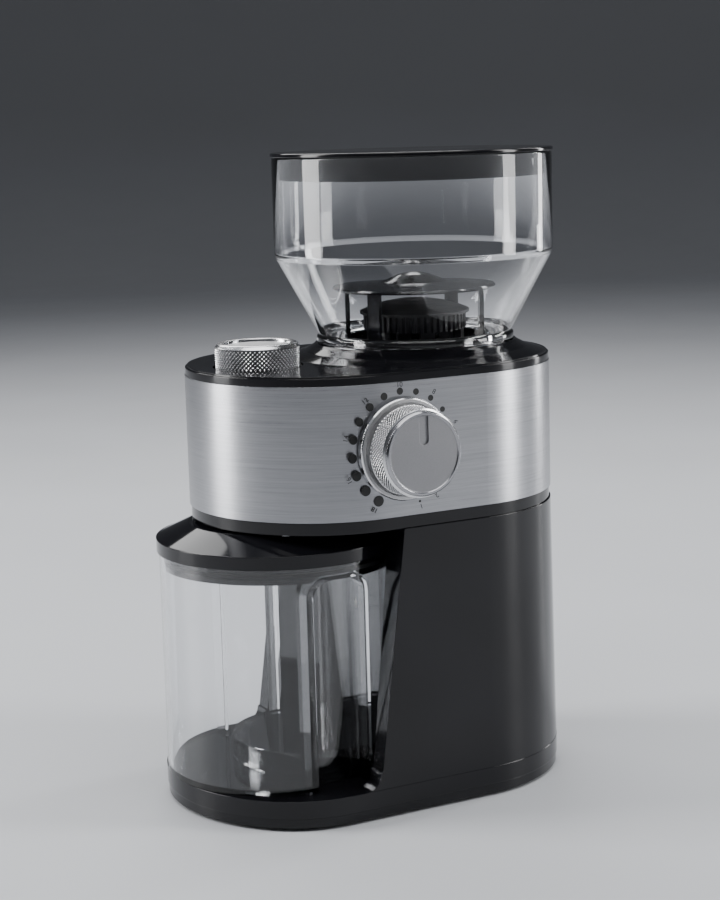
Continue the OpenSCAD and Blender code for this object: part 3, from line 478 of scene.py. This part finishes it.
cup_low, cup_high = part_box("cup_dial")
cup_h = (cup_high.z - cup_low.z) / MM
cup_frame = Matrix.Translation((cup_centre.x, cup_centre.y, cup_low.z))
button_r = (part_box("start_button")[1].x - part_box("start_button")[0].x) / 2 / MM
hole_r = button_r + 0.25
cup_rings = (
    [(hole_r, 0.0, 0), (17.2, 0.0, 0), (17.6, 0.2, 0)]
    + knurl_rings(CUP_R, 0.5, cup_h - 1.5, CUP_PITCH)
    + [(17.7, cup_h - 1.2, 0), (17.35, cup_h - 0.7, 0), (16.9, cup_h - 0.25, 0), (16.4, cup_h, 0),
       (14.7, cup_h, 0), (14.3, cup_h - 0.12, 0), (hole_r, cup_h - 0.45, 0)]
)


def open_ring(name, rings, matrix, body):
    """A knurled ring whose hole goes right through: its end discs give way to the hole's wall."""
    piece = knurled(name, rings, matrix, CUP_COUNT, 1 / CUP_PITCH, body)
    mesh = piece.data
    bm = bmesh.new()
    bm.from_mesh(mesh)
    around = CUP_COUNT * KNURL_STEPS
    bmesh.ops.delete(bm, geom=[f for f in bm.faces if len(f.verts) > 4], context="FACES_ONLY")
    bm.verts.ensure_lookup_table()
    last = len(bm.verts) - around
    for i in range(around):
        j = (i + 1) % around
        bm.faces.new((bm.verts[last + i], bm.verts[last + j], bm.verts[j], bm.verts[i]))
    bm.to_mesh(mesh)
    bm.free()
    mesh.polygons.foreach_set("use_smooth", [True] * len(mesh.polygons))
    mesh.set_sharp_from_angle(angle=math.radians(50))
    return piece


cup = open_ring("cup_dial_ring", cup_rings, scaled(cup_frame), "cup_dial_body")
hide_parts("cup_dial")

# ---------- springs ----------


def spring(node, body):
    """A copy of a node's rings, shaded smooth and ridden on its body in place of the node."""
    piece = finish_mesh(node + "_rings", NODES[node].data.copy(), SLOT[node], body)
    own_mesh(piece)
    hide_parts(node)


spring(
    "plunger_spring", "plunger_body",
)
spring(
    "button_spring", "button_body"
)

# ---------- print on the band ----------

DOTS, DOT_R, DOT_START, DOT_STEP = 18, 23.8, 239.3, -18.34
DOT_BIG, DOT_SHRINK = 2.3, 1.75
PRINT_T, PRINT_GAP, BAND_MARGIN = 0.05, 0.6, 0.15
NUMBER_SIZE, NUMBER_HALF = 3.0, 1.05


def face_point(radius, angle, out=0.0):
    return Vector((radius * math.cos(angle), radius * math.sin(angle), out))


def dot_size(i):
    return DOT_BIG - DOT_SHRINK * i / (DOTS - 1)


def number_r(i):
    """Numbers stand just outside their dots, and stay on the band at the top."""
    band_edge = (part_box("steel_band")[1].z - dial_centre.z) / MM - BAND_MARGIN - NUMBER_HALF
    rise = abs(math.sin(math.radians(DOT_START + DOT_STEP * i)))
    return min(DOT_R + dot_size(i) + PRINT_GAP + NUMBER_HALF, band_edge / max(rise, 0.1))


bm = bmesh.new()
for i in range(DOTS):
    angle = math.radians(DOT_START + DOT_STEP * i)
    dot = dot_size(i)
    spot = face_point(DOT_R, angle)
    bmesh.ops.create_cone(
        bm, segments=32, radius1=dot, radius2=dot, depth=PRINT_T, cap_ends=True,
        matrix=Matrix.Translation(spot + Vector((0, 0, PRINT_T / 2))),
    )
mesh = bpy.data.meshes.new("dial_dots")
bm.to_mesh(mesh)
bm.free()
mesh.transform(scaled(dial_frame))
finish_mesh("dial_dots", mesh, "print_black", "housing_body")

bm = bmesh.new()
for i in range(DOTS):
    if i % 2 and i != DOTS - 1:
        continue
    angle = math.radians(DOT_START + DOT_STEP * i)
    curve = bpy.data.curves.new("number", "FONT")
    curve.body = str(DOTS - i)
    curve.size = NUMBER_SIZE
    curve.extrude = PRINT_T / 2
    curve.align_x, curve.align_y = "CENTER", "CENTER"
    text = bpy.data.objects.new("number", curve)
    bpy.context.collection.objects.link(text)
    bpy.context.view_layer.update()
    number = baked(text)
    number.transform(
        Matrix.Translation(face_point(number_r(i), angle, PRINT_T / 2))
        @ Matrix.Rotation(angle - math.pi / 2, 4, "Z")
    )
    bm.from_mesh(number)
    bpy.data.meshes.remove(number)
mesh = bpy.data.meshes.new("dial_numbers")
bm.to_mesh(mesh)
bm.free()
mesh.transform(scaled(dial_frame))
finish_mesh("dial_numbers", mesh, "print_black", "housing_body")

# ---------- hopper and its lid ----------


def arc_corner(points, radii, segments=4):
    """A closed outline with its corners rounded by the radii, in mm; 0 keeps a corner."""
    out = []
    for k, (x, y) in enumerate(points):
        radius = radii[k]
        here = Vector((x, y))
        before, after = Vector(points[k - 1]), Vector(points[(k + 1) % len(points)])
        if not radius:
            out.append(tuple(here))
            continue
        a, b = (before - here).normalized(), (after - here).normalized()
        half = a.angle(b) / 2
        reach = min(radius / math.tan(half), (before - here).length * 0.49, (after - here).length * 0.49)
        start, end = here + a * reach, here + b * reach
        for i in range(segments + 1):
            t = i / segments
            out.append(tuple(start * (1 - t) ** 2 + here * 2 * t * (1 - t) + end * t * t))
    return out


def lathe(name, outline, matrix, material, body, around=192, sharp=50):
    """A ring turned from a closed outline of (radius, height) points; points on the axis close it."""
    bm = bmesh.new()
    loops = []
    for radius, height in outline:
        if radius < 1e-6:
            loops.append([bm.verts.new(matrix @ Vector((0, 0, height)))])
            continue
        loops.append([
            bm.verts.new(matrix @ Vector((
                radius * math.cos(math.tau * i / around), radius * math.sin(math.tau * i / around), height
            )))
            for i in range(around)
        ])
    for low, high in zip(loops, loops[1:] + loops[:1]):
        if len(low) == len(high) == 1:
            continue
        for i in range(around):
            j = (i + 1) % around
            if len(low) == 1:
                bm.faces.new((low[0], high[j], high[i]))
            elif len(high) == 1:
                bm.faces.new((low[i], low[j], high[0]))
            else:
                bm.faces.new((low[i], low[j], high[j], high[i]))
    bmesh.ops.recalc_face_normals(bm, faces=bm.faces)
    mesh = bpy.data.meshes.new(name)
    bm.to_mesh(mesh)
    bm.free()
    return finish_mesh(name, mesh, material, body, sharp)


axis_frame = scaled(Matrix.Translation((AXIS.x, AXIS.y, 0)))
hopper_outline = [
    (33.0, 178.0), (33.0, 192.4), (43.2, 192.4), (43.2, 195.2), (42.2, 196.4), (60.2, 229.5),
    (60.7, 231.4), (60.8, 273.0), (58.8, 273.0), (58.7, 231.8), (58.0, 230.2), (40.6, 196.4),
    (39.4, 194.6), (31.0, 194.6), (31.0, 178.0),
]
hopper_round = [0.4, 0.3, 0.9, 0.7, 1.2, 2.2, 2.2, 0.7, 0.5, 2.0, 2.0, 1.2, 1.0, 0.8, 0.4]
hopper = lathe(
    "hopper_bowl", arc_corner(hopper_outline, hopper_round), axis_frame, "clear", "hopper_body"
)
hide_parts("hopper", "hopper_neck")

lid_outline = [
    (0.0, 275.0), (61.3, 275.0), (61.3, 273.25), (58.45, 273.25), (58.45, 263.2), (56.8, 263.2),
    (56.8, 273.2), (0.0, 273.2),
]
lid_round = [0, 0.9, 0.3, 0.2, 0.5, 0.4, 0.4, 0]
lathe(
    "hopper_lid_disc", arc_corner(lid_outline, lid_round, 6), axis_frame, "gloss_black",
    "hopper_lid_body",
)
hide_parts("hopper_lid")

# Two small arrowheads on the lid's skirt, seen through the bowl
MARK_R, MARK_TOP, MARK_H, MARK_HALF = 58.52, 270.4, 3.6, 1.0
bm = bmesh.new()
for turn in (-61.5, -56.6):
    half = math.degrees(MARK_HALF / MARK_R)
    bm.faces.new([
        bm.verts.new(axis_frame @ Vector((
            MARK_R * math.cos(math.radians(turn + side * half)),
            MARK_R * math.sin(math.radians(turn + side * half)), height,
        )))
        for side, height in ((0, MARK_TOP - MARK_H), (1, MARK_TOP), (-1, MARK_TOP))
    ])
mesh = bpy.data.meshes.new("lid_marks")
bm.to_mesh(mesh)
bm.free()
finish_mesh("lid_marks", mesh, "print_white", "hopper_lid_body")

# ---------- studio ----------


def studio_bowl():
    """A round floor that sweeps up into a wall on every side."""
    floor_r, sweep_r, wall_top, around, sweep_steps = 2.6, 1.4, 2.6, 96, 16
    profile = [(0.6, 0.0), (1.2, 0.0), (2.0, 0.0), (floor_r, 0.0)]
    for i in range(1, sweep_steps + 1):
        turn = math.radians(90 * i / sweep_steps)
        profile.append((floor_r + sweep_r * math.sin(turn), sweep_r - sweep_r * math.cos(turn)))
    profile.append((floor_r + sweep_r, wall_top))
    bm = bmesh.new()
    loops = []
    for r, z in profile:
        loops.append([
            bm.verts.new((r * math.cos(math.tau * i / around), r * math.sin(math.tau * i / around), z))
            for i in range(around)
        ])
    bm.faces.new(loops[0])
    for low, high in zip(loops, loops[1:]):
        for i in range(around):
            j = (i + 1) % around
            bm.faces.new((low[i], high[i], high[j], low[j]))
    mesh = bpy.data.meshes.new("studio")
    bm.to_mesh(mesh)
    bm.free()
    m = Nodes("studio")
    # The colour is a painted pool of light: palest on the floor under the object, darkening outward and up the
    # wall.
    m.set(
        Base_Color=m.ramp(
            m.math("ADD", m.radius((0, 0, 0), (0.25, 0.25, 0.25)), m.math("MULTIPLY", m.noise(3), 0.05)),
            (0.2, (0.55, 0.56, 0.58)), (0.45, (0.36, 0.365, 0.38)), (0.9, (0.15, 0.153, 0.16))),
        Roughness=m.span(m.noise(8), 0.5, 0.6),
        Specular_IOR_Level=0.25,
        Normal=m.bump(m.noise(900), 0.05, 0.0001),
    )
    mesh.materials.append(m.material)
    mesh.polygons.foreach_set("use_smooth", [True] * len(mesh.polygons))
    obj = bpy.data.objects.new("studio", mesh)
    bpy.context.collection.objects.link(obj)


studio_bowl()
middle = (cad_box[0] + cad_box[1]) / 2


def soft_light(name, azimuth, elevation, distance, size, power):
    """An area light that faces the object; azimuth 0 is in front of the dial."""
    a, e = math.radians(azimuth), math.radians(elevation)
    away = Vector((math.sin(a) * math.cos(e), -math.cos(a) * math.cos(e), math.sin(e)))
    data = bpy.data.lights.new(name, "AREA")
    data.shape = "RECTANGLE"
    data.size, data.size_y = size
    data.energy = power
    obj = bpy.data.objects.new(name, data)
    obj.location = middle + away * distance
    obj.rotation_mode = "QUATERNION"
    obj.rotation_quaternion = (-away).to_track_quat("-Z", "Y")
    bpy.context.collection.objects.link(obj)


soft_light("key", -119, 20, 1.5, (0.5, 1.5), 30)
soft_light("rim", 55, 18, 1.5, (0.34, 1.4), 19)
soft_light("edge", 97, 18, 1.5, (0.18, 1.4), 9)
soft_light("top", -10, 75, 1.6, (1.6, 1.2), 16)
soft_light("back", 170, 40, 1.7, (1.4, 0.8), 14)

world = bpy.data.worlds.new("world")
bpy.context.scene.world = world
world.use_nodes = True
world.node_tree.nodes["Background"].inputs["Color"].default_value = (0.80, 0.84, 0.92, 1)
world.node_tree.nodes["Background"].inputs["Strength"].default_value = 0.4
